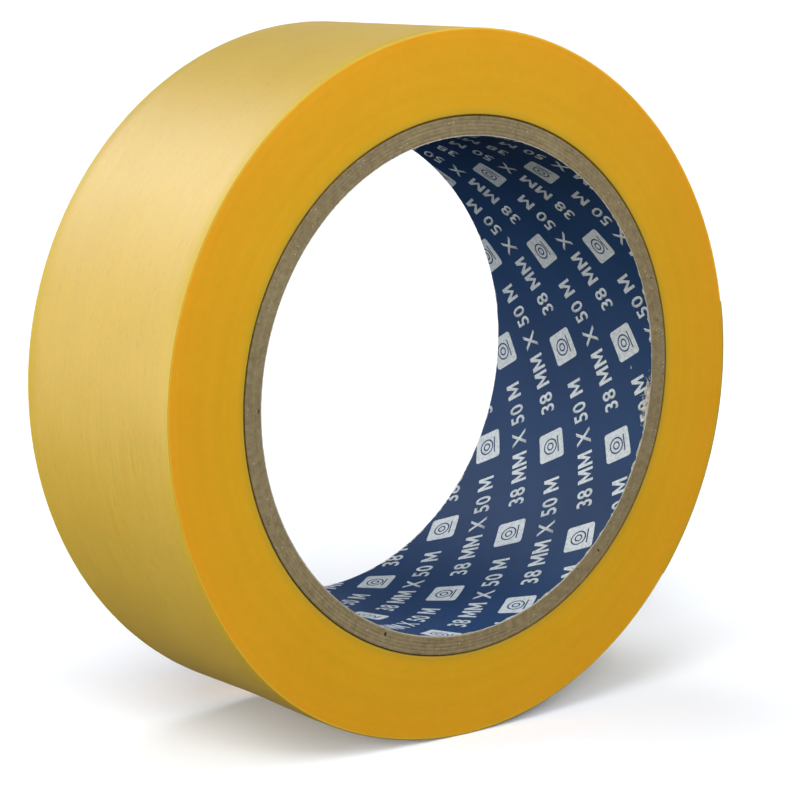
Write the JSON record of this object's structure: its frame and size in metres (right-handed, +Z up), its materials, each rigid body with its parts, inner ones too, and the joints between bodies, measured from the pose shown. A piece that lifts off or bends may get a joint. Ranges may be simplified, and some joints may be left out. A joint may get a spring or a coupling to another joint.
{
  "type": "masking tape roll",
  "caption": "Roll of fine-line paper masking tape on a spiral-wound board core with a printed liner; the free end of the tape peels away from the roll.",
  "frame": {"origin": "centre of the core's bore, halfway along the roll's width", "axes": "+Y along the bore's axis, from the face seen first to the far face; +Z up, with the roll standing on its rim; +X across the roll"},
  "size_m": [0.1083, 0.038, 0.1082],
  "materials": {
    "printed_liner": "matt blue paper with pale print",
    "core_board": "matt grey-brown chipboard",
    "core_outer_paper": "matt dark brown kraft paper",
    "wound_tape": "satin yellow saturated paper",
    "tape_backing": "satin yellow saturated paper",
    "tape_adhesive": "clear glossy pressure-sensitive adhesive"
  },
  "bodies": {
    "roll": {"core_liner_ply": "printed_liner", "core_ply_1": "core_board", "core_ply_2": "core_board", "core_ply_3": "core_board", "core_ply_4": "core_board", "core_ply_5": "core_board", "core_outer_ply": "core_outer_paper", "tape_windings": "wound_tape"},
    "tail_1": {"tail_backing_1": "tape_backing", "tail_adhesive_1": "tape_adhesive"},
    "tail_2": {"tail_backing_2": "tape_backing", "tail_adhesive_2": "tape_adhesive"},
    "tail_3": {"tail_backing_3": "tape_backing", "tail_adhesive_3": "tape_adhesive"},
    "tail_4": {"tail_backing_4": "tape_backing", "tail_adhesive_4": "tape_adhesive"},
    "tail_5": {"tail_backing_5": "tape_backing", "tail_adhesive_5": "tape_adhesive"},
    "tail_6": {"tail_backing_6": "tape_backing", "tail_adhesive_6": "tape_adhesive"}
  },
  "joints": [
    {"name": "tail_peel", "type": "hinge", "parent": "roll", "child": "tail_1", "pos_m": [0.04148, 0, -0.03481], "axis": [0, 1, 0], "range_deg": [0, 20]},
    {"name": "tail_bend_2", "type": "hinge", "parent": "tail_1", "child": "tail_2", "pos_m": [0.04606, 0, -0.02848], "axis": [0, 1, 0], "range_deg": [0, 20]},
    {"name": "tail_bend_3", "type": "hinge", "parent": "tail_2", "child": "tail_3", "pos_m": [0.04968, 0, -0.02156], "axis": [0, 1, 0], "range_deg": [0, 20]},
    {"name": "tab_lift", "type": "hinge", "parent": "tail_3", "child": "tail_4", "pos_m": [0.05226, 0, -0.01419], "axis": [0, 1, 0], "range_deg": [0, 20]},
    {"name": "tail_bend_5", "type": "hinge", "parent": "tail_4", "child": "tail_5", "pos_m": [0.05376, 0, -0.00653], "axis": [0, 1, 0], "range_deg": [0, 20]},
    {"name": "tail_bend_6", "type": "hinge", "parent": "tail_5", "child": "tail_6", "pos_m": [0.05414, 0, 0.00127], "axis": [0, 1, 0], "range_deg": [0, 20]}
  ],
  "couplings": [
    {"joint": "tail_bend_2", "follows": "tail_peel", "ratio": 1},
    {"joint": "tail_bend_3", "follows": "tail_peel", "ratio": 1},
    {"joint": "tail_bend_5", "follows": "tab_lift", "ratio": 1},
    {"joint": "tail_bend_6", "follows": "tab_lift", "ratio": 1}
  ]
}
